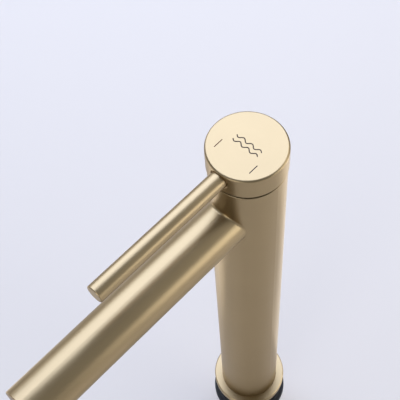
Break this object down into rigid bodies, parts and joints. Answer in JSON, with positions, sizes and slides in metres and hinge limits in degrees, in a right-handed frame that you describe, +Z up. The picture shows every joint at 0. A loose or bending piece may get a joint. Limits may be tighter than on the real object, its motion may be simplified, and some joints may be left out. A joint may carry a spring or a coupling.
{
  "type": "single-lever basin mixer tap",
  "caption": "Tall single-lever basin mixer: slim round column, straight tube spout, round cap with a pin lever, ceramic cartridge and deck clamp.",
  "frame": {"origin": "centre of the foot on the deck surface", "axes": "+Z up the column; the spout and the lever reach out along -Y; +X is on the right of a user who faces the spout, so the hot side is -X"},
  "size_m": [0.052, 0.176, 0.362],
  "materials": {
    "brushed_gold": "brushed satin",
    "raw_brass": "machined",
    "stainless_steel": "turned",
    "ceramic": "lapped",
    "cartridge_plastic": "moulded",
    "aerator_plastic": "moulded",
    "black_rubber": "moulded",
    "hot_enamel": "enamel",
    "cold_enamel": "enamel"
  },
  "bodies": {
    "body": {"fixed_disc": "ceramic", "disc_seals": "black_rubber", "cartridge_base": "cartridge_plastic", "port_seals": "black_rubber", "base_o_ring": "black_rubber", "cartridge_housing": "cartridge_plastic", "cartridge_nut": "raw_brass", "dome_ring": "brushed_gold", "valve_core": "raw_brass", "column_tube": "brushed_gold", "spout_tube": "brushed_gold", "spout_end_cap": "brushed_gold", "spout_adapter": "raw_brass", "spout_nipple": "raw_brass", "nipple_o_ring": "black_rubber", "aerator_collar": "brushed_gold", "aerator_gasket": "black_rubber", "aerator_screen": "stainless_steel", "aerator_insert": "aerator_plastic", "aerator_housing": "aerator_plastic", "base_flange": "brushed_gold", "deck_gasket": "black_rubber", "column_foot": "raw_brass", "threaded_shank": "raw_brass", "clamp_rubber": "black_rubber", "clamp_washer": "stainless_steel", "clamp_nut": "raw_brass"},
    "rotor": {"cartridge_rotor": "cartridge_plastic", "stem_pin": "stainless_steel", "rotor_o_ring": "black_rubber"},
    "handle": {"handle_cap": "brushed_gold", "handle_lever": "brushed_gold", "lever_stud": "raw_brass", "grub_screw": "stainless_steel", "screw_plug": "brushed_gold", "hot_mark": "hot_enamel", "cold_mark": "cold_enamel", "cartridge_stem": "stainless_steel"},
    "disc_slider": {"disc_carrier": "cartridge_plastic", "moving_disc": "ceramic"}
  },
  "joints": [
    {"name": "handle_turn", "type": "hinge", "parent": "body", "child": "rotor", "pos_m": [0, 0, 0.2742], "axis": [0, 0, 1], "range_deg": [-45, 45]},
    {"name": "handle_lift", "type": "hinge", "parent": "rotor", "child": "handle", "pos_m": [0, 0, 0.2742], "axis": [-1, 0, 0], "range_deg": [0, 18]},
    {"name": "disc_slide", "type": "slide", "parent": "rotor", "child": "disc_slider", "axis": [0, -1, 0], "range_m": [0, 0.0026]}
  ],
  "couplings": [
    {"joint": "disc_slide", "follows": "handle_lift", "m_per_rad": 0.008}
  ]
}
